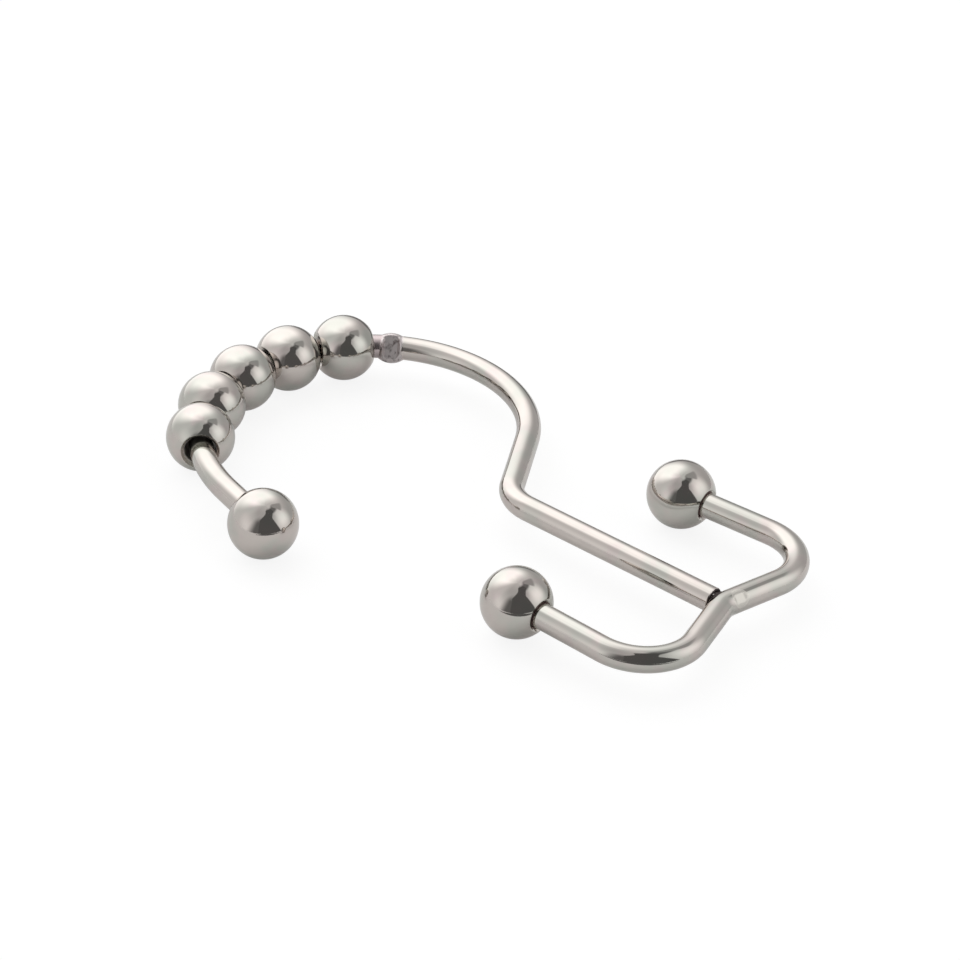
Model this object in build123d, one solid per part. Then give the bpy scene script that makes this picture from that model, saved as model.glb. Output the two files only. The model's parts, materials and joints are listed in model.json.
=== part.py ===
from build123d import *
import os
from dataclasses import dataclass
from math import asin, atan2, cos, hypot, radians, sin, sqrt, tan

# A double curtain hook bent from round wire, with roller balls threaded on the arc that hangs on the rod.
# It lies flat, as on a table. +Z is normal to the hook, +Y runs up the shank to the rod arc, which is up
# when the hook hangs, and +X points to the right-hand hook. The pieces are drawn with the peak of the
# double hook wire at the origin, and are then moved so that the whole hook is centred over the origin and
# rests on Z = 0. Lengths are in millimetres and angles in degrees.

# Wire and balls
WIRE_D = 2.9
BALL_D = 8.0
ROLLER_D = 8.0
ROLLER_COUNT = 5

# Hanger wire: its centreline from the peak of the double hook wire to the middle of the tip ball
SHANK_LEAN = 0.8
SHANK_LENGTH = 27.3
NECK_BEND_R = 5.1
NECK_BEND = 60.3
NECK_LENGTH = 10.3
BACK_ARC_R = 17.4
BACK_ARC = 117.1
ROD_ARC_R = 22.3
ROD_ARC = 107.3
TIP_LENGTH = 8.0

# Double hook wire: half of its centreline, from the peak under the shank to the middle of a hook's ball
PEAK_R = 4.0
PEAK_FALL = 13.5
PEAK_LENGTH = 7.1
BOWL_R = 6.4
ARM_LEAN = 2.5
ARM_LENGTH = 11.9

# Balls on the wire ends: the wire bottoms in a blind socket, at the middle of the ball
SOCKET_PLAY = 0.02
SOCKET_FLARE = 0.4

# Roller balls: bored through, with a countersink at each mouth
BORE_PLAY = 0.35
BORE_FLARE = 0.45
ROLLER_GAP = 0.15

# Stop: the hanger wire is pinched between two jaws, and the metal swells into an ear on each side
STOP_LENGTH = 3.2
STOP_CATCH = 0.12
STOP_OFFSET = 0.14
STOP_TILT = 35.0
STOP_GAP = 1.0
EAR_SINK = 0.12
JAW_LENGTH = 1.7
JAW_DRAFT = 35.0
JAW_THICKNESS = 2.2

# Butt weld between the shank's square end and the double hook wire
WELD_STANDOFF = 1.3
WELD_D = 2.3
SHANK_CHAMFER = 0.18
ELECTRODE_DEPTH = 0.1
ELECTRODE_WIDTH = 1.6
ELECTRODE_TILT = 46.0
ELECTRODE_SIDE = 1.5

# Sizes that follow from those above
WIRE_R = WIRE_D / 2
BORE_R = WIRE_R + BORE_PLAY
MOUTH_R = BORE_R + BORE_FLARE
SOCKET_R = WIRE_R + SOCKET_PLAY
RIM_HALF = sqrt((ROLLER_D / 2) ** 2 - MOUTH_R ** 2)
STOP_R = BORE_R + STOP_CATCH / 2


@dataclass(frozen=True)
class Run:
    """A straight stretch of wire."""

    length: float


@dataclass(frozen=True)
class Bend:
    """A round stretch of wire. A positive turn goes to the left of the way of travel."""

    radius: float
    turn: float


def centreline(start: Vector, heading: float, moves: list) -> Wire:
    """Chains straight runs and tangent bends into one path in the hook's plane.

    Args:
        start: Where the path begins.
        heading: The way of travel at the start, counted from +X towards +Y.
        moves: The runs and bends in order.

    Returns:
        The path as one wire.
    """
    edges = []
    point = start
    way = Vector(cos(radians(heading)), sin(radians(heading)))
    for move in moves:
        if isinstance(move, Run):
            edge = Line(point, point + way * move.length)
        else:
            edge = JernArc(point, way, move.radius, move.turn)
        edges.append(edge)
        point = edge @ 1
        way = edge % 1
    return Wire(edges)


def round_wire(path: Wire) -> Part:
    """Sweeps the wire's round section along a path.

    Args:
        path: The centreline.

    Returns:
        The solid wire.
    """
    section = Plane(origin=path @ 0, z_dir=path % 0) * Circle(WIRE_R)
    return sweep(section, path=path)


def on_path(path: Wire, distance: float) -> Plane:
    """Finds the plane at a place on a centreline.

    Args:
        path: The centreline.
        distance: The way along it from its start.

    Returns:
        A plane with X along the wire and Z normal to the hook.
    """
    point = path.position_at(distance, PositionMode.LENGTH)
    tangent = path.tangent_at(distance, PositionMode.LENGTH)
    return Plane(origin=point, x_dir=tangent, z_dir=(0, 0, 1))


def hanger_path() -> Wire:
    """Lays the hanger wire's centreline from the weld to the middle of the tip ball.

    Returns:
        The path: shank, neck, back arc, rod arc and tip.
    """
    moves = [
        Run(SHANK_LENGTH - WELD_STANDOFF),
        Bend(NECK_BEND_R, -NECK_BEND),
        Run(NECK_LENGTH),
        Bend(BACK_ARC_R, BACK_ARC),
        Bend(ROD_ARC_R, ROD_ARC),
        Run(TIP_LENGTH),
    ]
    start = Vector(0, WELD_STANDOFF).rotate(Axis.Z, -SHANK_LEAN)
    return centreline(start, 90 - SHANK_LEAN, moves)


def side_path() -> Wire:
    """Lays the right half of the double hook wire, from its peak to the middle of the ball.

    Returns:
        The path: half of the peak, the fall, the bowl and the arm.
    """
    moves = [
        Bend(PEAK_R, -PEAK_FALL),
        Run(PEAK_LENGTH),
        Bend(BOWL_R, 90 + PEAK_FALL + ARM_LEAN),
        Run(ARM_LENGTH),
    ]
    return centreline(Vector(0, 0), 0, moves)


def rod_arc_start(path: Wire) -> float:
    """Measures the hanger wire up to the arc that the rollers ride on.

    Args:
        path: The hanger wire's centreline.

    Returns:
        The distance along the path.
    """
    return path.length - TIP_LENGTH - ROD_ARC_R * radians(ROD_ARC)


def roller_pitch() -> float:
    """Works out how far apart two neighbours sit on the rod arc, with their inner rims almost touching.

    Returns:
        The distance between their middles, along the wire.
    """
    inner = ROD_ARC_R - MOUTH_R
    half_angle = atan2(RIM_HALF, inner) + asin(ROLLER_GAP / 2 / hypot(inner, RIM_HALF))
    return 2 * half_angle * ROD_ARC_R


def roller_planes(path: Wire) -> list[Plane]:
    """Places every roller on the rod arc, the first one at its start.

    Args:
        path: The hanger wire's centreline.

    Returns:
        One plane for each roller, with X along the wire.
    """
    first = rod_arc_start(path)
    return [on_path(path, first + index * roller_pitch()) for index in range(ROLLER_COUNT)]


def stop_plane(path: Wire) -> Plane:
    """Places the stop behind the first roller, turned the way that the jaws pinch.

    Args:
        path: The hanger wire's centreline.

    Returns:
        A plane with X along the wire, Z towards a jaw and Y along the ears.
    """
    from_roller = RIM_HALF + STOP_GAP + STOP_LENGTH / 2
    seat = on_path(path, rod_arc_start(path) - from_roller)
    inward = seat.y_dir
    towards_jaw = inward * cos(radians(STOP_TILT)) + seat.z_dir * sin(radians(STOP_TILT))
    return Plane(origin=seat.origin, x_dir=seat.x_dir, z_dir=towards_jaw)


def stop_ears() -> Part:
    """Turns the swelling of the stop, whose two ears are too wide for a roller's bore.

    Returns:
        A barrel about X.
    """
    half = STOP_LENGTH / 2
    end_r = WIRE_R - EAR_SINK
    outline = [
        Line((-half, 0), (-half, end_r)),
        ThreePointArc((-half, end_r), (0, STOP_R), (half, end_r)),
        Line((half, end_r), (half, 0)),
        Line((half, 0), (-half, 0)),
    ]
    barrel = revolve(make_face(outline), Axis.X)
    return Pos(0, STOP_OFFSET, 0) * barrel


def jaw() -> Part:
    """Makes one jaw of the pinching tool, which leaves a flat with sloping ends.

    Returns:
        A wedge that reaches outwards along Z from the flat.
    """
    foot = JAW_THICKNESS / 2
    reach = WIRE_D
    spread = (reach - foot) * tan(radians(JAW_DRAFT))
    half = JAW_LENGTH / 2
    outline = Polyline((-half, foot), (half, foot), (half + spread, reach), (-half - spread, reach), close=True)
    face = Plane.XZ * make_face(outline)
    return extrude(face, WIRE_D, both=True)


def weld_neck() -> Part:
    """Makes the plug of weld metal between the shank's end and the double hook wire.

    Returns:
        A short cylinder along X, from inside the double hook wire to inside the shank.
    """
    length = WELD_STANDOFF + 2 * SHANK_CHAMFER
    neck = Cylinder(WELD_D / 2, length, align=(Align.CENTER, Align.CENTER, Align.MIN))
    return Pos(-WELD_STANDOFF, 0, 0) * Rot(0, 90, 0) * neck


def hanger_wire(path: Wire, cross_wire: Part) -> Part:
    """Bends the hanger wire, pinches its stop and seats its square end on the double hook wire.

    Args:
        path: The hanger wire's centreline.
        cross_wire: The double hook wire, which the weld fits round.

    Returns:
        The finished wire.
    """
    wire = round_wire(path)
    foot = wire.edges().filter_by(GeomType.CIRCLE).sort_by(Axis.Y)[0]
    wire = chamfer(foot, SHANK_CHAMFER)
    seat = stop_plane(path)
    wire += seat * stop_ears()
    for turn in (0, 180):
        wire -= seat * Rot(turn, 0, 0) * jaw()
    wire += on_path(path, 0) * weld_neck()
    return wire - cross_wire


def electrode_mark() -> Part:
    """Makes the block that leaves the flat mark of the welding electrode beside the peak.

    Returns:
        A block that bites into the wire by the mark's depth.
    """
    block = Box(ELECTRODE_WIDTH, WIRE_D, WIRE_D, align=(Align.CENTER, Align.CENTER, Align.MIN))
    block = Pos(ELECTRODE_SIDE, 0, WIRE_R - ELECTRODE_DEPTH) * block
    fall = ELECTRODE_SIDE * sin(radians(PEAK_FALL))
    return Pos(0, -fall, 0) * Rot(ELECTRODE_TILT, 0, 0) * block


def double_hook_wire() -> Part:
    """Bends the wire that carries both hooks, with a peak in the middle.

    Returns:
        The finished wire.
    """
    right = round_wire(side_path())
    wire = right + mirror(right, about=Plane.YZ)
    return wire - electrode_mark()


def end_ball() -> Part:
    """Turns a ball with a blind socket for a wire end.

    Returns:
        The ball, with its socket's mouth towards +X.
    """
    ball_r = BALL_D / 2
    mouth_r = SOCKET_R + SOCKET_FLARE
    rim = sqrt(ball_r ** 2 - mouth_r ** 2)
    outline = [
        Line((-ball_r, 0), (0, 0)),
        Line((0, 0), (0, SOCKET_R)),
        Line((0, SOCKET_R), (rim - SOCKET_FLARE, SOCKET_R)),
        Line((rim - SOCKET_FLARE, SOCKET_R), (rim, mouth_r)),
        ThreePointArc((rim, mouth_r), (0, ball_r), (-ball_r, 0)),
    ]
    return revolve(make_face(outline), Axis.X)


def roller_ball() -> Part:
    """Turns a roller with a through bore.

    Returns:
        The roller, bored along X.
    """
    step = RIM_HALF - BORE_FLARE
    outline = [
        Line((-step, BORE_R), (step, BORE_R)),
        Line((step, BORE_R), (RIM_HALF, MOUTH_R)),
        ThreePointArc((RIM_HALF, MOUTH_R), (0, ROLLER_D / 2), (-RIM_HALF, MOUTH_R)),
        Line((-RIM_HALF, MOUTH_R), (-step, BORE_R)),
    ]
    return revolve(make_face(outline), Axis.X)


def ball_on_end(path: Wire) -> Part:
    """Seats a ball on the last end of a wire.

    Args:
        path: The wire's centreline, which ends in the middle of the ball.

    Returns:
        The ball in its place.
    """
    return Plane(origin=path @ 1, x_dir=path % 1 * -1, z_dir=(0, 0, 1)) * end_ball()


def build_hook() -> dict[str, Part]:
    """Builds every piece in place, with the peak at the origin.

    Returns:
        The pieces by name.
    """
    path = hanger_path()
    cross_wire = double_hook_wire()
    right_ball = ball_on_end(side_path())
    pieces = {
        "hanger_wire": hanger_wire(path, cross_wire),
        "double_hook_wire": cross_wire,
        "tip_ball": ball_on_end(path),
        "right_hook_ball": right_ball,
        "left_hook_ball": mirror(right_ball, about=Plane.YZ),
    }
    for number, plane in enumerate(roller_planes(path), start=1):
        pieces[f"roller_ball_{number}"] = plane * roller_ball()
    return pieces


def resting_place(pieces: dict[str, Part]) -> Location:
    """Finds the move that centres the hook over the origin and rests it on Z = 0.

    Args:
        pieces: The pieces as drawn.

    Returns:
        The move.
    """
    boxes = [piece.bounding_box() for piece in pieces.values()]
    middle_x = (min(box.min.X for box in boxes) + max(box.max.X for box in boxes)) / 2
    middle_y = (min(box.min.Y for box in boxes) + max(box.max.Y for box in boxes)) / 2
    return Pos(-middle_x, -middle_y, -min(box.min.Z for box in boxes))


def main() -> None:
    """Writes one STEP file for each piece and prints the places that joints and mounts use."""
    pieces = build_hook()
    move = resting_place(pieces)
    os.makedirs("parts", exist_ok=True)
    for name, piece in pieces.items():
        export_step(move * piece, f"parts/{name}.step")
    path = hanger_path()
    arc = path.edges().filter_by(GeomType.CIRCLE).sort_by(Edge.radius)[-1]
    print("origin of the drawing", move.position)
    print("middle of the rod arc", move.position + arc.arc_center)
    for number, plane in enumerate(roller_planes(path), start=1):
        print("roller", number, move.position + plane.origin, "bored along", plane.x_dir)


if __name__ == "__main__":
    main()
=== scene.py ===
"""The looks of a double shower curtain hook.

Two polished steel wires, three balls pressed on their ends and five loose rollers lie on a white table in a
light tent. Sizes are in millimetres and angles in degrees, until a piece is finished and taken to metres.
"""
import json
import logging
import math
from dataclasses import dataclass
from enum import Enum

import bmesh
import bpy
from mathutils import Matrix, Vector


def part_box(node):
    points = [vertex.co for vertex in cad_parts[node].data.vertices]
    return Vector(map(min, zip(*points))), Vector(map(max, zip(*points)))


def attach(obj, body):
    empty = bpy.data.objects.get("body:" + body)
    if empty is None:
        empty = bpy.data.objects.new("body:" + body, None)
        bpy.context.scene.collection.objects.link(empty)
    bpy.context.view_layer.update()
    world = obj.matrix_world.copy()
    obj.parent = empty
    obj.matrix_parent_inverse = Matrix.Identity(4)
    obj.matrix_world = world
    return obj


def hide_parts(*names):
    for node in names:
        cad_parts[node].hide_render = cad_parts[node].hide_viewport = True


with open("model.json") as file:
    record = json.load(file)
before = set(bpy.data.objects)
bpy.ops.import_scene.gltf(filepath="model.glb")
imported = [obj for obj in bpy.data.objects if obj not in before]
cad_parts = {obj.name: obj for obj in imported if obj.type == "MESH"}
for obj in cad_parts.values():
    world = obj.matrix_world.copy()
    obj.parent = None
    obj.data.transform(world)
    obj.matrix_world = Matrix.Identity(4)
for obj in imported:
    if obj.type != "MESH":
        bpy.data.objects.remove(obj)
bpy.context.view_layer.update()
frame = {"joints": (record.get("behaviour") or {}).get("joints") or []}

MM = 0.001
LOG = logging.getLogger("hook")

# The middle of the double hook wire, at its peak, from which both wires are drawn
PEAK = Vector((2.15, -35.341, 4.0))
PEAK_R = 4.0
WIRE_R = 1.45

# How far the weld holds the shank's end from the peak's middle, and how far the shank leans on it
WELD_GAP = 1.3
SHANK_LEAN = 0.8

# The end balls' sockets: where their mouths are on the wire, their play and their countersink
SOCKET_MOUTH = 3.45
SOCKET_PLAY = 0.02
SOCKET_FLARE = 0.4

# How many sides a round wire has, and past which angle an edge shows as sharp
RING_SIDES = 72
SHARP_ANGLE = 40.0

# What a noise is in the middle of its range
NOISE_MIDDLE = 0.5

# Where the photograph was taken from, round the middle of the hook
VIEW_AZIMUTH = -53.206
VIEW_ELEVATION = 31.936
VIEW_ROLL = 4.114
VIEW_DISTANCE = 341.6
VIEW_AIM = Vector((3.458, -0.274, 4.0))
VIEW_LENS = 111.9
VIEW_NEAREST = 10.0

# The camera's side of the hook, counted from +X towards +Y. Bearings count from it to the camera's right
CAMERA_SIDE = VIEW_AZIMUTH - 90

Tint = tuple[float, float, float, float]


def tint(red: float, green: float, blue: float) -> Tint:
    """Makes an opaque colour out of its linear parts."""
    return (red, green, blue, 1.0)


def grey(level: float) -> Tint:
    """Makes a neutral colour of one linear level."""
    return tint(level, level, level)


BRIGHT_STEEL = tint(0.56, 0.515, 0.482)
ASH_STEEL = tint(0.5, 0.495, 0.455)
MAUVE_STEEL = tint(0.545, 0.475, 0.46)
CRUSHED_STEEL = tint(0.56, 0.515, 0.51)
# The rollers' bores: a real dull finish, with a tone lighter than the bright steel, which is painted light in
# the shaded bores
DULL_BORE_PAINTED_LIGHT = tint(0.7, 0.68, 0.66)
BROWN_BORE = tint(0.42, 0.33, 0.32)
HEAT_BROWN = tint(0.2, 0.14, 0.14)
SOOT = tint(0.05, 0.04, 0.04)


class Slot(Enum):
    """The record's finishes that a piece can take."""

    WIRE = "polished_wire"
    BALL = "polished_ball"


class Bore(Enum):
    """How a ball is drilled: the sides of it, along its bore, that have a mouth."""

    BLIND = (1,)
    THROUGH = (1, -1)


class Lay(Enum):
    """The attributes that hold a piece's own coordinates, before it was bent or put in place."""

    STRAIGHT = "straight"
    TURNED = "turned"


class Number:
    """A number that varies over a surface, as a socket that takes part in sums."""

    def __init__(self, tree: "Tree", socket: bpy.types.NodeSocket) -> None:
        """Wraps a socket.

        Args:
            tree: The node tree that the socket is in.
            socket: The output that gives the number.
        """
        self.tree = tree
        self.socket = socket

    def __add__(self, other: "Number | float") -> "Number":
        """Adds."""
        return self.tree.maths("ADD", self, other)

    def __sub__(self, other: "Number | float") -> "Number":
        """Takes the other from this."""
        return self.tree.maths("SUBTRACT", self, other)

    def __rsub__(self, other: float) -> "Number":
        """Takes this from the other."""
        return self.tree.maths("SUBTRACT", other, self)

    def __mul__(self, other: "Number | float") -> "Number":
        """Multiplies."""
        return self.tree.maths("MULTIPLY", self, other)

    def __abs__(self) -> "Number":
        """Drops the sign."""
        return self.tree.maths("ABSOLUTE", self)

    __radd__ = __add__
    __rmul__ = __mul__

    def smaller(self, other: "Number | float") -> "Number":
        """Takes the smaller of the two."""
        return self.tree.maths("MINIMUM", self, other)

    def larger(self, other: "Number | float") -> "Number":
        """Takes the larger of the two."""
        return self.tree.maths("MAXIMUM", self, other)

    def root(self) -> "Number":
        """Takes the square root."""
        return self.tree.maths("SQRT", self)

    def rising(self, start: float, end: float) -> "Number":
        """Makes a soft step.

        Args:
            start: Where the step is still 0.
            end: Where it has reached 1. It may be below start, for a step that falls.

        Returns:
            A mask from 0 to 1.
        """
        if start > end:
            return 1 - self.rising(end, start)
        inputs = {"Value": self, "From Min": start, "From Max": end}
        node = self.tree.node("ShaderNodeMapRange", {"interpolation_type": "SMOOTHSTEP"}, inputs)
        return Number(self.tree, node.outputs["Result"])


class Tree:
    """Adds nodes to one node tree."""

    def __init__(self, tree: bpy.types.NodeTree) -> None:
        """Empties the tree.

        Args:
            tree: A material's or the world's node tree.
        """
        self.tree = tree
        tree.nodes.clear()

    def node(self, kind: str, settings: dict, inputs: dict) -> bpy.types.Node:
        """Adds any node: its settings first, then the values or links of its sockets.

        Args:
            kind: The node's type.
            settings: Its properties by name.
            inputs: Its sockets by name or number, each with a value, a Number or an output socket.

        Returns:
            The node.
        """
        node = self.tree.nodes.new(kind)
        for name, value in settings.items():
            setattr(node, name, value)
        for key, value in inputs.items():
            if isinstance(value, Number):
                value = value.socket
            if isinstance(value, bpy.types.NodeSocket):
                self.tree.links.new(value, node.inputs[key])
            else:
                node.inputs[key].default_value = value
        return node

    def maths(self, operation: str, *values: "Number | float") -> Number:
        """Does one sum.

        Args:
            operation: The Math node's operation.
            values: What it works on.

        Returns:
            The result.
        """
        node = self.node("ShaderNodeMath", {"operation": operation}, dict(enumerate(values)))
        return Number(self, node.outputs[0])

    def mix(self, share: Number, first: object, second: object) -> bpy.types.NodeSocket:
        """Mixes two colours.

        Args:
            share: How much of the second there is.
            first: A colour or an output socket.
            second: A colour or an output socket.

        Returns:
            The mixed colour.
        """
        node = self.node("ShaderNodeMix", {"data_type": "RGBA"}, {0: share, 6: first, 7: second})
        return node.outputs[2]

    def own(self, lay: Lay) -> bpy.types.NodeSocket:
        """Reads a piece's own coordinates, in millimetres."""
        return self.node("ShaderNodeAttribute", {"attribute_name": lay.value}, {}).outputs["Vector"]

    def parts(self, place: bpy.types.NodeSocket) -> list[Number]:
        """Splits a place into its three numbers."""
        node = self.node("ShaderNodeSeparateXYZ", {}, {0: place})
        return [Number(self, out) for out in node.outputs]

    def stretch(self, place: bpy.types.NodeSocket, factors: Vector) -> bpy.types.NodeSocket:
        """Multiplies a place by one factor for each axis."""
        node = self.node("ShaderNodeVectorMath", {"operation": "MULTIPLY"}, {0: place, 1: factors})
        return node.outputs[0]

    def away(self, place: bpy.types.NodeSocket, spot: Vector) -> Number:
        """Measures the distance from a spot."""
        node = self.node("ShaderNodeVectorMath", {"operation": "DISTANCE"}, {0: place, 1: spot})
        return Number(self, node.outputs["Value"])

    def noise(self, place: bpy.types.NodeSocket, size: float, detail: float = 2.0) -> Number:
        """Makes soft noise.

        Args:
            place: The coordinates that it reads.
            size: How wide a patch of it is, in their unit.
            detail: How many finer layers it has.

        Returns:
            The noise, from about 0.3 to 0.7.
        """
        node = self.node("ShaderNodeTexNoise", {}, {"Vector": place, "Scale": 1 / size, "Detail": detail})
        return Number(self, node.outputs[0])

    def place(self) -> bpy.types.NodeSocket:
        """Reads the place on the object, in metres."""
        return self.node("ShaderNodeTexCoord", {}, {}).outputs["Object"]

    def glow(self, level: "Number | float") -> bpy.types.NodeSocket:
        """Makes a plain white light of one level."""
        return self.node("ShaderNodeEmission", {}, {"Color": grey(1.0), "Strength": level}).outputs[0]

    def show(self, surface: bpy.types.NodeSocket) -> None:
        """Ends a material's tree with its surface."""
        self.node("ShaderNodeOutputMaterial", {}, {"Surface": surface})

    def show_metal(self, tone: object, metallic: float, rough: Number, height: Number,
                   relief: float) -> None:
        """Ends a material's tree with metal.

        Args:
            tone: The metal's colour.
            metallic: How much of the surface is bare metal.
            rough: Its roughness.
            height: Its relief.
            relief: How high a height of 1 is, in millimetres.
        """
        bump = self.node("ShaderNodeBump", {}, {"Strength": 1.0, "Distance": relief * MM, "Height": height})
        shader = self.node("ShaderNodeBsdfPrincipled", {}, {
            "Base Color": tone, "Metallic": metallic, "Roughness": rough, "Normal": bump.outputs[0]})
        self.show(shader.outputs[0])


def blank(name: str) -> tuple[bpy.types.Material, Tree]:
    """Makes a material with an empty tree.

    Args:
        name: The material's name.

    Returns:
        The material and its tree.
    """
    made = bpy.data.materials.new(name)
    made.use_nodes = True
    return made, Tree(made.node_tree)


@dataclass(frozen=True)
class Stain:
    """Dull metal that no tumbler reaches. A kind of stain says where it lies."""

    tone: Tint
    roughness: float
    grain: float = 0.25
    thin: float = 0.0
    ragged: float = 1.1
    soft: float = 0.15

    def reach(self, tree: Tree, place: bpy.types.NodeSocket) -> Number:
        """Says where the stain may lie, from 0 to 1, in the piece's own coordinates."""
        raise NotImplementedError

    def mask(self, tree: Tree, place: bpy.types.NodeSocket) -> Number:
        """Breaks the stain's edge up with its grain.

        Args:
            tree: The material's tree.
            place: The piece's own coordinates.

        Returns:
            The stain's mask.
        """
        grain = tree.noise(place, self.grain, detail=3.0)
        middle = NOISE_MIDDLE + self.thin
        ragged = self.reach(tree, place) + (grain - NOISE_MIDDLE) * self.ragged
        return ragged.rising(middle - self.soft, middle + self.soft)


@dataclass(frozen=True)
class BandStain(Stain):
    """A stain right round a wire, or round a ball's bore."""

    at: float = 0.0
    half: float = 0.3
    edge: float = 0.3

    def reach(self, tree: Tree, place: bpy.types.NodeSocket) -> Number:
        """Follows the way along the wire."""
        along = tree.parts(place)[0]
        return abs(along - self.at).rising(self.half + self.edge, self.half)


@dataclass(frozen=True)
class BoreStainAndPaintedLight(Stain):
    """A stain in a ball's bore and at the foot of its countersink; in a roller's bore it carries a tone
    lighter than the steel, which is painted light in the shaded bore.
    """

    radius: float = 2.0
    edge: float = 0.1
    blind: bool = False
    closed: float = -0.5

    def reach(self, tree: Tree, place: bpy.types.NodeSocket) -> Number:
        """Follows the distance from the bore's axis, and in a blind bore leaves the closed side clean."""
        along, side, up = tree.parts(place)
        inside = (side * side + up * up).root().rising(self.radius + self.edge, self.radius)
        return inside * along.rising(self.closed, 0.0) if self.blind else inside


@dataclass(frozen=True)
class SpotStain(Stain):
    """A stain round one spot of a wire."""

    spot: tuple[float, float, float] = (0.0, 0.0, 0.0)
    radius: float = 1.0
    edge: float = 0.5

    def reach(self, tree: Tree, place: bpy.types.NodeSocket) -> Number:
        """Follows the distance from the spot."""
        return tree.away(place, Vector(self.spot)).rising(self.radius + self.edge, self.radius)


@dataclass(frozen=True)
class Polish:
    """Bright steel out of the tumbler, with the waves, scratches and stains that are left on it."""

    name: str
    lay: Lay
    stains: tuple[Stain, ...] = ()
    patch: float = 5.0
    drift: float = 0.45
    bright_from: tuple[float, float] = (0.36, 0.6)
    mauve_from: tuple[float, float] = (0.5, 0.72)
    mauve_share: float = 0.7
    gloss: float = 0.035
    haze: float = 0.05
    lines_from: tuple[float, float] = (0.35, 0.75)
    haze_from: tuple[float, float] = (0.45, 0.75)
    wave: float = 4.0
    wave_height: float = 0.04
    line: tuple[float, float, float] = (6.0, 0.14, 0.14)
    line_height: float = 0.0008
    pit_height: float = 0.02

    def material(self) -> bpy.types.Material:
        """Makes the finish.

        Returns:
            The material.
        """
        made, tree = blank(self.name)
        own, place = tree.own(self.lay), tree.place()
        lines = tree.noise(tree.stretch(own, Vector([1 / size for size in self.line])), 1.0, detail=3.0)
        clouds = tree.noise(place, self.patch * MM)
        drift = tree.noise(place, self.patch * self.drift * MM, detail=3.0)
        tone = tree.mix(clouds.rising(*self.bright_from), ASH_STEEL, BRIGHT_STEEL)
        tone = tree.mix(drift.rising(*self.mauve_from) * self.mauve_share, tone, MAUVE_STEEL)
        rough = self.gloss + lines.rising(*self.lines_from) * self.haze
        rough = rough + drift.rising(*self.haze_from) * (self.haze / 2)
        waves = tree.noise(place, self.wave * MM, detail=0.0) * self.wave_height
        height = waves + lines * self.line_height
        for stain in self.stains:
            mask = stain.mask(tree, own)
            grain = tree.noise(own, stain.grain, detail=4.0)
            tone = tree.mix(mask, tone, stain.tone)
            rough = rough + (stain.roughness - rough) * mask
            height = height + mask * (grain - NOISE_MIDDLE) * self.pit_height
        tree.show_metal(tone, 1.0, rough, height, relief=1.0)
        return made


@dataclass(frozen=True)
class Scale:
    """The dark scale of a resistance weld, with the straw tint of the heat round it."""

    name: str
    tone: Tint = tint(0.06, 0.048, 0.048)
    straw: Tint = tint(0.42, 0.33, 0.25)
    straw_from: tuple[float, float] = (0.5, 0.68)
    metallic: float = 0.9
    gloss: float = 0.25
    haze: float = 0.4
    haze_from: tuple[float, float] = (0.7, 0.4)
    grain: float = 0.3
    relief: float = 0.08

    def material(self) -> bpy.types.Material:
        """Makes the finish.

        Returns:
            The material.
        """
        made, tree = blank(self.name)
        grain = tree.noise(tree.place(), self.grain * MM, detail=4.0)
        tone = tree.mix(grain.rising(*self.straw_from), self.tone, self.straw)
        rough = grain.rising(*self.haze_from) * self.haze + self.gloss
        tree.show_metal(tone, self.metallic, rough, grain, self.relief)
        return made


def set_down(grid: bmesh.types.BMesh, name: str, material: bpy.types.Material) -> bpy.types.Object:
    """Makes a bmesh an object of the scene.

    Args:
        grid: The mesh in millimetres, in place. It is used up.
        name: The name of the object and of its mesh.
        material: What it is made of.

    Returns:
        The object.
    """
    bmesh.ops.scale(grid, vec=(MM, MM, MM), verts=grid.verts)
    mesh = bpy.data.meshes.new(name)
    grid.to_mesh(mesh)
    grid.free()
    mesh.materials.append(material)
    made = bpy.data.objects.new(name, mesh)
    bpy.context.scene.collection.objects.link(made)
    return made


def stage_for_mirrors(thing: bpy.types.Object) -> None:
    """Hides a thing from the camera, from diffuse light and from shadows, so that only reflections show it.
    """
    thing.visible_camera = thing.visible_diffuse = thing.visible_shadow = False


@dataclass(frozen=True)
class Patch:
    """A soft-edged patch of the tent's cloth, in degrees as seen from the hook."""

    bearing: float
    height: float
    half_width: float
    half_height: float
    edge: float
    lean: float = 0.0

    def mask(self, bearing: Number, height: Number) -> Number:
        """Says where the patch is.

        Args:
            bearing: A direction's angle round the hook, from the camera's side to the right.
            height: Its angle above the floor.

        Returns:
            The patch's mask.
        """
        turn = abs(bearing - (height - self.height) * self.lean - self.bearing)
        across = (turn.smaller(abs(360 - turn)) - self.half_width).larger(0.0)
        along = (abs(height - self.height) - self.half_height).larger(0.0)
        return (across * across + along * along).root().rising(self.edge, 0.0)


@dataclass(frozen=True)
class Glow(Patch):
    """A patch of one level of light, bright or dark."""

    level: float = 1.0

    def paint(self, bearing: Number, height: Number, under: "Number | float") -> Number:
        """Lays the patch over the light that is there, and returns both together."""
        return self.mask(bearing, height) * (self.level - under) + under


@dataclass(frozen=True)
class Silhouette:
    """The dark in the tent's front opening: soft patches that run together, with a clear outline."""

    lobes: tuple[Patch, ...]
    level: float
    outside: float = 0.28
    inside: float = 0.62

    def paint(self, bearing: Number, height: Number, under: Number) -> Number:
        """Lays the shape over the light that is there, and returns both together."""
        first, *others = (lobe.mask(bearing, height) for lobe in self.lobes)
        for other in others:
            first = first + other
        return first.rising(self.outside, self.inside) * (self.level - under) + under


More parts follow.
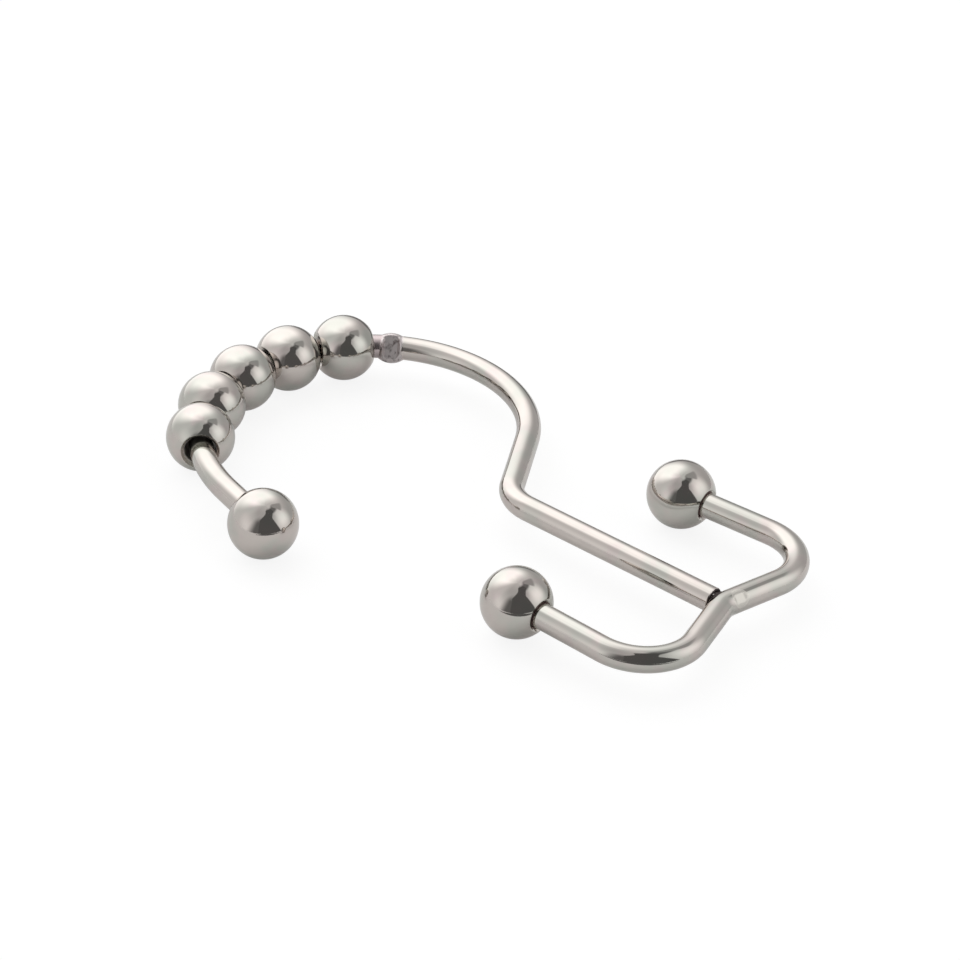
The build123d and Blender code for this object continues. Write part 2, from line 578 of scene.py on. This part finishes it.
@dataclass(frozen=True)
class Card:
    """A dark card on the table, out of the picture, which only reflections show."""

    name: str
    bearing: float
    near: float
    width: float
    depth: float
    level: float
    lift: float = 0.3

    def lay(self) -> None:
        """Lays the card down, just above the table."""
        grid = bmesh.new()
        bmesh.ops.create_grid(grid, x_segments=1, y_segments=1, size=0.5)
        bmesh.ops.scale(grid, vec=(self.depth, self.width, 1), verts=grid.verts)
        bmesh.ops.translate(grid, vec=(self.near + self.depth / 2, 0, self.lift), verts=grid.verts)
        turn = Matrix.Rotation(math.radians(CAMERA_SIDE + self.bearing), 3, "Z")
        bmesh.ops.rotate(grid, cent=(0, 0, 0), matrix=turn, verts=grid.verts)
        made, tree = blank(self.name)
        tree.show(tree.glow(self.level))
        stage_for_mirrors(set_down(grid, self.name, made))


# The cloth's light, in the order in which its patches are laid over each other
TENT = (
    # The dimmer front, high above the camera
    Glow(bearing=0, height=60, half_width=35, half_height=0, edge=45, level=0.6, lean=-0.25),
    # The main lamp behind on the left, and its light low on the cloth
    Glow(bearing=-145, height=44, half_width=20, half_height=9, edge=43, level=1.95, lean=0.55),
    Glow(bearing=-160, height=10, half_width=0, half_height=28, edge=58, level=1.85, lean=-0.3),
    # A little light low on the left
    Glow(bearing=-54, height=12, half_width=0, half_height=0, edge=33, level=1.05, lean=-0.55),
    # The dimmer corner behind on the right
    Glow(bearing=144, height=8, half_width=20, half_height=8, edge=52, level=0.55, lean=-0.6),
    # The second lamp, on the right
    Glow(bearing=82, height=30, half_width=4, half_height=2, edge=38, level=1.35),
    # The dark slit along the top, and its paler end
    Glow(bearing=65, height=68, half_width=45, half_height=5, edge=8, level=0.2),
    Glow(bearing=113, height=60, half_width=14, half_height=11, edge=8, level=0.45, lean=-0.3),
    # The shade on the left of the front opening
    Glow(bearing=-17, height=16, half_width=6, half_height=14, edge=26, level=0.17, lean=0.25),
    # The front opening: its right side, its left side, its narrow top, and where it meets the slit
    Silhouette((
        Patch(bearing=26, height=20, half_width=15, half_height=19, edge=16, lean=-0.4),
        Patch(bearing=0, height=19, half_width=8, half_height=17, edge=12),
        Patch(bearing=19, height=52, half_width=16, half_height=5, edge=15, lean=1.0),
        Patch(bearing=36, height=68, half_width=24, half_height=1.5, edge=10),
    ), level=0.12),
    # The dark fold at the cloth's foot behind
    Glow(bearing=172, height=0, half_width=8, half_height=2, edge=12, level=0.2),
)
CARDS = (
    Card("front_card", bearing=8, near=52, width=90, depth=260, level=0.14),
    Card("back_card", bearing=172, near=62, width=110, depth=260, level=0.2),
)


@dataclass
class Studio:
    """The white table, the light tent and the camera."""

    tent_level: float = 0.84
    tent_radius: float = 230.0
    tent_smoothness: int = 5
    table_size: float = 1200.0
    table_tone: float = 0.85
    backdrop_share: float = 0.8
    backdrop_level: float = 1.08
    mirror_share: float = 0.15

    def shine(self, tree: Tree, way: bpy.types.NodeSocket) -> Number:
        """Works out the tent's light from a direction.

        Args:
            tree: The tree of the world or of the cloth.
            way: The direction as seen from the hook, of length 1.

        Returns:
            The light.
        """
        x, y, z = tree.parts(way)
        bearing = tree.maths("ARCTAN2", y, x) * math.degrees(1) - CAMERA_SIDE
        bearing = tree.maths("WRAP", bearing, 180.0, -180.0)
        height = tree.maths("ARCSINE", z) * math.degrees(1)
        level = self.tent_level
        for patch in TENT:
            level = patch.paint(bearing, height, level)
        return level

    def light(self) -> None:
        """Lights the hook with a light tent, which the camera sees as white."""
        world = bpy.data.worlds.new("tent")
        bpy.context.scene.world = world
        world.use_nodes = True
        tree = Tree(world.node_tree)
        level = self.shine(tree, tree.node("ShaderNodeTexCoord", {}, {}).outputs["Generated"])
        seen = Number(tree, tree.node("ShaderNodeLightPath", {}, {}).outputs["Is Camera Ray"])
        level = level + (1 - level) * seen
        shade = tree.node("ShaderNodeBackground", {}, {"Color": grey(1.0), "Strength": level})
        tree.node("ShaderNodeOutputWorld", {}, {"Surface": shade.outputs[0]})

    def cloth(self) -> None:
        """Hangs the tent's cloth round the hook, so near that its reflections shift from ball to ball."""
        grid = bmesh.new()
        bmesh.ops.create_icosphere(grid, subdivisions=self.tent_smoothness, radius=self.tent_radius)
        made, tree = blank("tent_cloth")
        made.cycles.emission_sampling = "NONE"
        way = tree.node("ShaderNodeVectorMath", {"operation": "NORMALIZE"}, {0: tree.place()}).outputs[0]
        tree.show(tree.glow(self.shine(tree, way)))
        stage_for_mirrors(set_down(grid, "tent_cloth", made))

    def table(self) -> None:
        """Lays the white table, whose plain white the camera sees with the hook's soft shadow on it."""
        grid = bmesh.new()
        bmesh.ops.create_grid(grid, x_segments=1, y_segments=1, size=self.table_size / 2)
        made, tree = blank("table_white")
        matt = tree.node("ShaderNodeBsdfDiffuse", {}, {"Color": grey(self.table_tone)})
        path = tree.node("ShaderNodeLightPath", {}, {})
        camera, mirror = (Number(tree, path.outputs[name]) for name in ("Is Camera Ray", "Is Glossy Ray"))
        seen = camera * self.backdrop_share + mirror * self.mirror_share
        plain = tree.glow(self.backdrop_level)
        mixed = tree.node("ShaderNodeMixShader", {}, {0: seen, 1: matt.outputs[0], 2: plain})
        tree.show(mixed.outputs[0])
        set_down(grid, "table", made)

    def camera(self) -> None:
        """Sets the camera where the photograph was taken from."""
        turn, lift, roll = (math.radians(angle) for angle in (CAMERA_SIDE, VIEW_ELEVATION, VIEW_ROLL))
        back = Vector((math.cos(turn) * math.cos(lift), math.sin(turn) * math.cos(lift), math.sin(lift)))
        right = (-back).cross(Vector((0, 0, 1))).normalized()
        up = right.cross(-back)
        tilt = Matrix.Rotation(roll, 3, back)
        right, up = tilt @ right, tilt @ up
        data = bpy.data.cameras.new("camera")
        data.lens = VIEW_LENS
        data.clip_start = VIEW_NEAREST * MM
        camera = bpy.data.objects.new("camera", data)
        place = Matrix.Translation((VIEW_AIM + back * VIEW_DISTANCE) * MM)
        camera.matrix_world = place @ Matrix((right, up, back)).transposed().to_4x4()
        bpy.context.scene.collection.objects.link(camera)
        bpy.context.scene.camera = camera


def keep_places(grid: bmesh.types.BMesh, lay: Lay) -> None:
    """Keeps where each point of a mesh is now, as the piece's own coordinates.

    Args:
        grid: The mesh, as it lies now.
        lay: The attribute that holds them.
    """
    layer = grid.verts.layers.float_vector.new(lay.value)
    for vert in grid.verts:
        vert[layer] = vert.co


def finish_piece(grid: bmesh.types.BMesh, name: str, material: bpy.types.Material, body: str,
                 node: str = "") -> None:
    """Makes a bmesh a finished piece of the hook.

    Args:
        grid: The mesh in millimetres, in place. It is used up.
        name: The piece's name.
        material: Its finish.
        body: The body that it rides on.
        node: The CAD node that it stands for, if any.
    """
    bmesh.ops.recalc_face_normals(grid, faces=grid.faces)
    for face in grid.faces:
        face.smooth = True
    piece = set_down(grid, name, material)
    piece.data.set_sharp_from_angle(angle=math.radians(SHARP_ANGLE))
    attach(piece, body)
    if node:
        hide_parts(node)
    LOG.info("%s: %d faces, rides on %s", name, len(piece.data.polygons), body)


@dataclass(frozen=True)
class Run:
    """A straight stretch of wire, and how long the mesh's steps are on it."""

    length: float
    step: float = 1.5


@dataclass(frozen=True)
class Bend:
    """A round stretch of wire. A positive turn goes to the left of the way of travel."""

    radius: float
    turn: float
    step: float = 2.0


@dataclass
class Station:
    """One ring of a wire's mesh: its middle, the way the wire goes there, and how far along it is."""

    middle: Vector
    heading: float
    along: float
    ring: list[bmesh.types.BMVert]

    @property
    def way(self) -> Vector:
        """The way of travel."""
        return Vector((math.cos(self.heading), math.sin(self.heading), 0))

    @property
    def side(self) -> Vector:
        """The left of the way of travel."""
        return Vector((-math.sin(self.heading), math.cos(self.heading), 0))


class DrawnWire:
    """A round wire's mesh, drawn out ring by ring."""

    def __init__(self, middle: Vector, heading: float, radius: float, along: float = 0.0) -> None:
        """Lays the first ring and closes it.

        Args:
            middle: The middle of the ring.
            heading: The way of travel, counted from +X towards +Y.
            radius: The wire's radius there.
            along: How far along the wire the ring counts as.
        """
        self.grid = bmesh.new()
        self.lay = self.grid.verts.layers.float_vector.new(Lay.STRAIGHT.value)
        circle = bmesh.ops.create_circle(self.grid, cap_ends=True, radius=radius, segments=RING_SIDES)
        stand = Matrix.Rotation(math.radians(heading), 4, "Z") @ Matrix.Rotation(math.radians(90), 4, "Y")
        bmesh.ops.transform(self.grid, matrix=Matrix.Translation(middle) @ stand, verts=circle["verts"])
        self.rim = list(self.grid.edges)
        self.stations: list[Station] = []
        self._note(Station(middle.copy(), math.radians(heading), along, circle["verts"]))

    @property
    def end(self) -> Station:
        """The last ring."""
        return self.stations[-1]

    def _note(self, station: Station) -> None:
        """Keeps a ring, and each of its points' place in the wire before it was bent."""
        for vert in station.ring:
            spot = vert.co - station.middle
            vert[self.lay] = Vector((station.along, spot.dot(station.side), spot.z))
        self.stations.append(station)

    def step(self, move: Matrix, length: float, turn: float = 0.0, size: float = 1.0) -> None:
        """Extrudes the open rim by one ring.

        Args:
            move: Where the new ring goes from the last one.
            length: The way along the wire's centreline.
            turn: The turn in degrees.
            size: The new ring's size, as a share of the last.
        """
        grown = bmesh.ops.extrude_edge_only(self.grid, edges=self.rim)["geom"]
        ring = [item for item in grown if isinstance(item, bmesh.types.BMVert)]
        self.rim = [item for item in grown if isinstance(item, bmesh.types.BMEdge) and item.is_boundary]
        last = self.end
        shrink = Matrix.Translation(last.middle) @ Matrix.Scale(size, 4) @ Matrix.Translation(-last.middle)
        bmesh.ops.transform(self.grid, matrix=move @ shrink, verts=ring)
        self._note(Station(move @ last.middle, last.heading + math.radians(turn), last.along + length, ring))

    def go(self, moves: list[Run | Bend]) -> None:
        """Draws the wire out along straight runs and bends.

        Args:
            moves: The runs and bends in order.
        """
        for move in moves:
            if isinstance(move, Run):
                steps = math.ceil(move.length / move.step)
                for _ in range(steps):
                    self.step(Matrix.Translation(self.end.way * move.length / steps), move.length / steps)
                continue
            steps = math.ceil(abs(move.turn) / move.step)
            turn = move.turn / steps
            centre = self.end.middle + self.end.side * math.copysign(move.radius, turn)
            spin = Matrix.Rotation(math.radians(turn), 4, "Z")
            spin = Matrix.Translation(centre) @ spin @ Matrix.Translation(-centre)
            for _ in range(steps):
                self.step(spin, move.radius * math.radians(abs(turn)), turn)

    def close(self) -> bmesh.types.BMesh:
        """Closes the open end.

        Returns:
            The closed mesh.
        """
        bmesh.ops.contextual_create(self.grid, geom=self.rim)
        return self.grid


@dataclass(frozen=True)
class Pinch:
    """The stop: two jaws press a flat each into the wire, and the metal swells into an ear on each side.

    The swelling is a barrel, which the offset moves towards the larger ear. The foot is the flats' height
    above the wire's middle, and the draft is the slope of their ends.
    """

    at: float
    length: float = 3.2
    widest: float = 1.86
    ends: float = 1.33
    offset: float = 0.14
    tilt: float = 35.0
    foot: float = 1.1
    jaw_length: float = 1.7
    draft: float = 35.0

    def _barrel(self, off: float) -> float:
        """Gives the swelling's radius at a distance from the stop's middle."""
        half = self.length / 2
        rise = self.widest - self.ends
        curve = (half * half + rise * rise) / (2 * rise)
        return self.widest - curve + math.sqrt(curve * curve - off * off)

    def _limit(self, off: float) -> float:
        """Gives the jaws' height above the wire's middle at a distance from the stop's middle."""
        return self.foot + max(0.0, abs(off) - self.jaw_length / 2) / math.tan(math.radians(self.draft))

    def press(self, wire: DrawnWire) -> None:
        """Swells and flattens the wire's rings at the stop.

        Args:
            wire: The wire, already bent.
        """
        tilt = math.radians(self.tilt)
        for station in wire.stations:
            off = station.along - self.at
            if abs(off) >= self.length / 2:
                continue
            jaw = station.side * math.cos(tilt) + Vector((0, 0, math.sin(tilt)))
            ear = station.side * math.sin(tilt) - Vector((0, 0, math.cos(tilt)))
            barrel, limit = self._barrel(off), self._limit(off)
            for vert in station.ring:
                spot = vert.co - station.middle
                across, high = spot.dot(ear) / WIRE_R, spot.dot(jaw) / WIRE_R
                swollen = self.offset * across + math.sqrt(barrel ** 2 - (self.offset * high) ** 2)
                reach = max(WIRE_R, swollen)
                high = max(-limit, min(limit, high * reach))
                vert.co = station.middle + ear * across * reach + jaw * high


@dataclass
class HangerWire:
    """The wire that hangs on the rod: shank, neck, back arc, rod arc and tip, with the pinched stop."""

    shank: float = 27.3
    chamfer: float = 0.18
    neck_bend_r: float = 5.1
    neck_bend: float = 60.3
    neck: float = 10.3
    back_arc_r: float = 17.4
    back_arc: float = 117.1
    rod_arc_r: float = 22.3
    rod_arc: float = 107.3
    tip: float = 8.0
    stop_gap: float = 5.907
    stop_margin: float = 0.3
    stop_step: float = 0.3

    def draw(self) -> DrawnWire:
        """Bends the wire, with close rings where the stop will be.

        Returns:
            The wire, still open at its tip.
        """
        lean = math.radians(SHANK_LEAN)
        foot = PEAK + Vector((math.sin(lean), math.cos(lean), 0)) * WELD_GAP
        first_r = WIRE_R - self.chamfer
        wire = DrawnWire(foot, 90 - SHANK_LEAN, first_r, WELD_GAP)
        wire.step(Matrix.Translation(wire.end.way * self.chamfer), self.chamfer, size=WIRE_R / first_r)
        per_degree = math.radians(self.back_arc_r)
        half = self.stop().length / 2 + self.stop_margin
        before, after = (self.stop_gap + half) / per_degree, (self.stop_gap - half) / per_degree
        wire.go([
            Run(self.shank - WELD_GAP - self.chamfer),
            Bend(self.neck_bend_r, -self.neck_bend),
            Run(self.neck),
            Bend(self.back_arc_r, self.back_arc - before),
            Bend(self.back_arc_r, before - after, self.stop_step),
            Bend(self.back_arc_r, after),
            Bend(self.rod_arc_r, self.rod_arc),
            Run(self.tip),
        ])
        return wire

    def stop(self) -> Pinch:
        """Places the stop on the back arc, short of the rod arc."""
        neck_bend = self.neck_bend_r * math.radians(self.neck_bend)
        back_arc = self.back_arc_r * math.radians(self.back_arc)
        return Pinch(self.shank + neck_bend + self.neck + back_arc - self.stop_gap)

    def finish(self, length: float) -> Polish:
        """Chooses the wire's finish.

        Args:
            length: The wire's length, up to the middle of its ball.

        Returns:
            Drawn and tumbled wire, dull in the stop and at the two ends.
        """
        stop = self.stop().at
        return Polish("hanger_wire_steel", Lay.STRAIGHT, stains=(
            # The crushed skin of the stop, and the dirt in its pits
            BandStain(CRUSHED_STEEL, 0.42, grain=0.8, thin=0.05, at=stop, half=1.0, edge=1.0),
            BandStain(tint(0.2, 0.17, 0.165), 0.45, grain=0.45, thin=0.62, at=stop, half=1.1, edge=0.5),
            BandStain(SOOT, 0.45, grain=0.6, thin=0.72, at=stop, half=1.1, edge=0.4),
            # A darker, mauve band with dark spots on the wire between the stop and the first roller
            BandStain(tint(0.45, 0.385, 0.385), 0.2, grain=1.1, thin=0.2, at=stop + 2.4, half=0.9, edge=0.9),
            BandStain(tint(0.12, 0.085, 0.08), 0.3, grain=0.9, thin=0.75, at=stop + 2.2, half=0.9, edge=0.4),
            # The tip ball's socket, and the weld at the shank's end
            BandStain(HEAT_BROWN, 0.45, at=length - SOCKET_MOUTH, half=0.05, edge=0.16, thin=0.1),
            BandStain(SOOT, 0.5, at=WELD_GAP, half=0.04, edge=0.16),
        ))

    def make(self) -> DrawnWire:
        """Makes the dressed wire.

        Returns:
            The wire's rings, for the ball on its tip.
        """
        wire = self.draw()
        self.stop().press(wire)
        finish = self.finish(wire.end.along).material()
        finish_piece(wire.close(), "hanger_wire_bright", finish, "hanger", "hanger_wire")
        return wire


@dataclass
class DoubleHookWire:
    """The wire that carries both hooks, with a peak in its middle and the electrode's flat mark beside it."""

    peak_fall: float = 13.5
    peak_length: float = 7.1
    bowl_r: float = 6.4
    arm_lean: float = 2.5
    arm: float = 11.9
    flat_side: float = 1.5
    flat_width: float = 1.1
    flat_depth: float = 0.09
    flat_tilt: float = 46.0
    flat_slope: float = 0.22
    flat_run: float = 2.6
    flat_step: float = 0.1
    peak_step: float = 1.2

    def bowl(self) -> Bend:
        """Shapes the bend of one hook."""
        return Bend(self.bowl_r, 90 + self.peak_fall + self.arm_lean)

    def reach(self) -> Vector:
        """Works out how far a ball's middle is from the peak, sideways and up."""
        place, heading = Vector((0, 0, 0)), 0.0
        for move in (Bend(PEAK_R, -self.peak_fall), Run(self.peak_length), self.bowl(), Run(self.arm)):
            if isinstance(move, Run):
                place += Vector((math.cos(heading), math.sin(heading), 0)) * move.length
                continue
            swing = Vector((-math.sin(heading), math.cos(heading), 0)) * math.copysign(move.radius, move.turn)
            centre = place + swing
            place = centre - Matrix.Rotation(math.radians(move.turn), 3, "Z") @ swing
            heading += math.radians(move.turn)
        return place

    def draw(self, start: Vector) -> DrawnWire:
        """Bends the wire from the left ball's middle to the right one's.

        Args:
            start: The middle of the left ball.

        Returns:
            The wire, still open at its right end.
        """
        wire = DrawnWire(start, -90 - self.arm_lean, WIRE_R)
        wire.go([
            Run(self.arm),
            self.bowl(),
            Run(self.peak_length),
            Bend(PEAK_R, -2 * self.peak_fall, self.peak_step),
            Run(self.flat_run, self.flat_step),
            Run(self.peak_length - self.flat_run),
            self.bowl(),
            Run(self.arm),
        ])
        return wire

    def press_flat(self, wire: DrawnWire) -> None:
        """Presses the electrode's mark into the wire.

        Args:
            wire: The wire, already bent.
        """
        tilt = math.radians(self.flat_tilt)
        for station in wire.stations:
            off = abs(station.along - wire.end.along / 2 - self.flat_side)
            if off > 2 * self.flat_width:
                continue
            out = Vector((0, 0, math.cos(tilt))) - station.side * math.sin(tilt)
            left = WIRE_R - self.flat_depth + max(0.0, off - self.flat_width / 2) * self.flat_slope
            for vert in station.ring:
                over = (vert.co - station.middle).dot(out) - left
                if over > 0:
                    vert.co -= out * over

    def finish(self, length: float) -> Polish:
        """Chooses the wire's finish.

        Args:
            length: The wire's length, from the middle of one ball to the other's.

        Returns:
            Drawn and tumbled wire, brown at the sockets, sooty at the weld, dull in the electrode's mark.
        """
        # Their places along the wire, to its left and up
        weld = (length / 2, WIRE_R, 0.5)
        mark = (length / 2 + self.flat_side, -1.04, 1.0)
        return Polish("double_hook_wire_steel", Lay.STRAIGHT, stains=(
            BandStain(HEAT_BROWN, 0.45, at=SOCKET_MOUTH, half=0.05, edge=0.16, thin=0.1),
            BandStain(HEAT_BROWN, 0.45, at=length - SOCKET_MOUTH, half=0.05, edge=0.16, thin=0.1),
            SpotStain(SOOT, 0.45, thin=0.1, spot=weld, radius=0.75, edge=0.4),
            SpotStain(tint(0.6, 0.575, 0.53), 0.36, grain=0.6, spot=mark, radius=0.9, edge=0.5),
        ))

    def make(self) -> DrawnWire:
        """Makes the dressed wire.

        Returns:
            The wire's rings, for the balls on its ends.
        """
        reach = self.reach()
        wire = self.draw(Vector((PEAK.x - reach.x, PEAK.y + reach.y, PEAK.z)))
        self.press_flat(wire)
        finish = self.finish(wire.end.along).material()
        finish_piece(wire.close(), "double_hook_wire_bright", finish, "hanger", "double_hook_wire")
        return wire


@dataclass
class Ball:
    """A turned and tumbled steel ball, drilled and countersunk, with broken edges."""

    node: str
    body: str
    middle: Vector
    way: Vector
    bore: Bore
    radius: float = 4.0
    bore_r: float = 1.8
    flare: float = 0.45
    edge: float = 0.06
    edge_steps: int = 3
    sides: int = 128
    steps: int = 72
    merge: float = 0.001

    def turn(self) -> bmesh.types.BMesh:
        """Turns the ball about X, its mouth towards +X.

        Returns:
            The ball's mesh, round the origin.
        """
        grid = bmesh.new()
        mouth_r = self.bore_r + self.flare
        rim = math.sqrt(self.radius ** 2 - mouth_r ** 2)
        opening = math.asin(mouth_r / self.radius)
        sweep = math.pi - opening * len(self.bore.value)
        first = bmesh.ops.create_vert(grid, co=(rim, 0, mouth_r))["vert"][0]
        spun = bmesh.ops.spin(grid, geom=[first], axis=(0, 1, 0), angle=-sweep, steps=self.steps)
        last = next(item for item in spun["geom_last"] if isinstance(item, bmesh.types.BMVert))
        inner = self._extrude(grid, first, (rim - self.flare, 0, self.bore_r))
        corners = [first, inner]
        if self.bore is Bore.THROUGH:
            far = self._extrude(grid, last, (self.flare - rim, 0, self.bore_r))
            bmesh.ops.contextual_create(grid, geom=[inner, far])
            corners += [last, far]
        else:
            bottom = self._extrude(grid, inner, (0, 0, self.bore_r))
            self._extrude(grid, bottom, (0, 0, 0))
        bmesh.ops.bevel(grid, geom=corners, offset=self.edge, offset_type="OFFSET", segments=self.edge_steps,
                        profile=0.5, affect="VERTICES", material=-1, clamp_overlap=True)
        bmesh.ops.spin(grid, geom=grid.verts[:] + grid.edges[:], axis=(1, 0, 0), angle=math.tau,
                       steps=self.sides, use_merge=True)
        bmesh.ops.remove_doubles(grid, verts=grid.verts, dist=self.merge)
        return grid

    @staticmethod
    def _extrude(grid: bmesh.types.BMesh, vert: bmesh.types.BMVert, place: tuple) -> bmesh.types.BMVert:
        """Extrudes a point of the profile to a place, and returns the new point."""
        new = bmesh.ops.extrude_vert_indiv(grid, verts=[vert])["verts"][0]
        new.co = place
        return new

    def finish(self) -> Polish:
        """Chooses the ball's finish: a mirror, with a dull bore whose lighter tone is painted light in its
        shade, or a socket that the weld has browned.
        """
        blind = self.bore is Bore.BLIND
        # A roller's dull bore gets a tone lighter than the steel: painted light in the bore's shade
        stain = BoreStainAndPaintedLight(BROWN_BORE if blind else DULL_BORE_PAINTED_LIGHT, 0.5, grain=0.3, radius=self.bore_r + self.edge,
                          edge=0.14, blind=blind)
        return Polish(f"{self.node}_steel", Lay.TURNED, stains=(stain,), patch=4.0, gloss=0.04, haze=0.04,
                      wave=1.8, wave_height=0.012, line=(1.2, 0.12, 0.3), line_height=0.0001,
                      pit_height=0.005)

    def make(self) -> None:
        """Makes the dressed ball in its place."""
        grid = self.turn()
        keep_places(grid, Lay.TURNED)
        turn = Matrix.Rotation(math.atan2(self.way.y, self.way.x), 4, "Z")
        bmesh.ops.transform(grid, matrix=Matrix.Translation(self.middle) @ turn, verts=grid.verts)
        finish_piece(grid, f"{self.node}_bright", self.finish().material(), self.body, self.node)


@dataclass
class ButtWeld:
    """The weld between the shank's end and the double hook wire: neck, ragged bead and a bead of spatter."""

    neck_r: float = 1.12
    neck_rise: float = 0.65
    neck_rings: int = 12
    neck_ragged: float = 0.05
    bead_r: float = 0.13
    bead_off: float = 0.05
    bead_sides: int = 12
    bead_steps: int = 96
    bead_ragged: float = 0.35
    spatter_r: float = 0.15
    spatter_shape: tuple[float, float, float] = (1.3, 0.8, 1.0)
    spatter_place: tuple[float, float, float] = (-0.35, 1.28, 0.98)

    def neck(self) -> bmesh.types.BMesh:
        """Makes the squeezed neck, from inside one wire to inside the other."""
        grid = bmesh.new()
        bmesh.ops.create_cone(grid, cap_ends=True, segments=RING_SIDES, radius1=self.neck_r,
                              radius2=self.neck_r, depth=WELD_GAP)
        sides = [edge for edge in grid.edges if edge.verts[0].co.z * edge.verts[1].co.z < 0]
        bmesh.ops.subdivide_edges(grid, edges=sides, cuts=self.neck_rings, use_grid_fill=True)
        for vert in grid.verts:
            x, y, z = vert.co
            ragged = 1 + self.neck_ragged * math.sin(x * 5 + z * 9) * math.sin(y * 6 - z * 7)
            vert.co = (x * ragged, y * ragged, z)
        bmesh.ops.translate(grid, vec=(0, 0, WELD_GAP * self.neck_rise), verts=grid.verts)
        return grid

    def bead(self) -> bmesh.types.BMesh:
        """Makes the ragged bead that lies in the corner, on the bent wire's saddle."""
        grid = bmesh.new()
        circle = bmesh.ops.create_circle(grid, radius=self.bead_r, segments=self.bead_sides)["verts"]
        stand = Matrix.Translation((self.neck_r + self.bead_off, 0, 0))
        stand = stand @ Matrix.Rotation(math.radians(90), 4, "X")
        bmesh.ops.transform(grid, matrix=stand, verts=circle)
        bmesh.ops.spin(grid, geom=grid.verts[:] + grid.edges[:], axis=(0, 0, 1), angle=math.tau,
                       steps=self.bead_steps, use_merge=True)
        for vert in grid.verts:
            x, y, z = vert.co
            turn = math.atan2(y, x)
            ragged = 1 + self.bead_ragged * math.sin(turn * 7 + 1) * math.sin(turn * 3)
            # The wire is round across and falls away on both sides of its peak
            saddle = math.sqrt(WIRE_R ** 2 - x ** 2) - y ** 2 / (2 * PEAK_R)
            vert.co.z = z * ragged + saddle
        return grid

    def spatter(self) -> bmesh.types.BMesh:
        """Makes the flattened bead of spatter in the corner of the weld."""
        grid = bmesh.new()
        bmesh.ops.create_icosphere(grid, subdivisions=3, radius=self.spatter_r)
        bmesh.ops.scale(grid, vec=self.spatter_shape, verts=grid.verts)
        bmesh.ops.translate(grid, vec=PEAK + Vector(self.spatter_place), verts=grid.verts)
        keep_places(grid, Lay.TURNED)
        return grid

    def make(self) -> None:
        """Makes the weld's pieces in their place."""
        scale = Scale("weld_scale").material()
        turn = Matrix.Rotation(math.radians(-SHANK_LEAN), 4, "Z")
        stand = turn @ Matrix.Rotation(math.radians(-90), 4, "X") @ Matrix.Rotation(math.radians(90), 4, "Z")
        for name, grid in (("weld_neck", self.neck()), ("weld_bead", self.bead())):
            bmesh.ops.transform(grid, matrix=Matrix.Translation(PEAK) @ stand, verts=grid.verts)
            finish_piece(grid, name, scale, "hanger")
        bright = Polish("weld_spatter_steel", Lay.TURNED).material()
        finish_piece(self.spatter(), "weld_spatter", bright, "hanger")


@dataclass
class RollerTrain:
    """The five loose rollers on the rod arc."""

    count: int = 5

    def make(self) -> None:
        """Makes each roller where the frame has it, bored along the arc."""
        travel = next(joint for joint in frame["joints"] if joint["name"] == "roller_train_travel")
        pivot = Vector(travel["pos_m"]) / MM
        for number in range(1, self.count + 1):
            low, high = (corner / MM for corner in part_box(f"roller_ball_{number}"))
            middle = (low + high) / 2
            out = middle - pivot
            way = Vector((-out.y, out.x, 0))
            Ball(f"roller_ball_{number}", f"roller_{number}", middle, way, Bore.THROUGH).make()


def end_ball(node: str, station: Station, forward: bool) -> Ball:
    """Chooses the ball that is pressed on a wire's end.

    Args:
        node: The CAD node that it stands for.
        station: The wire's first or last ring, in the middle of the ball.
        forward: Whether the wire ends there, and doesn't begin.

    Returns:
        The ball, not yet made.
    """
    way = -station.way if forward else station.way
    return Ball(node, "hanger", station.middle.copy(), way, Bore.BLIND, bore_r=WIRE_R + SOCKET_PLAY,
                flare=SOCKET_FLARE)


def main() -> None:
    """Builds the studio and the hook's pieces in order."""
    logging.basicConfig(level=logging.INFO, format="%(message)s")
    bpy.context.scene.view_settings.view_transform = "Standard"
    studio = Studio()
    studio.light()
    studio.cloth()
    studio.table()
    studio.camera()
    for card in CARDS:
        card.lay()
    hanger = HangerWire().make()
    cross = DoubleHookWire().make()
    ButtWeld().make()
    end_ball("tip_ball", hanger.end, True).make()
    end_ball("left_hook_ball", cross.stations[0], False).make()
    end_ball("right_hook_ball", cross.end, True).make()
    RollerTrain().make()


if __name__ == "__main__":
    main()
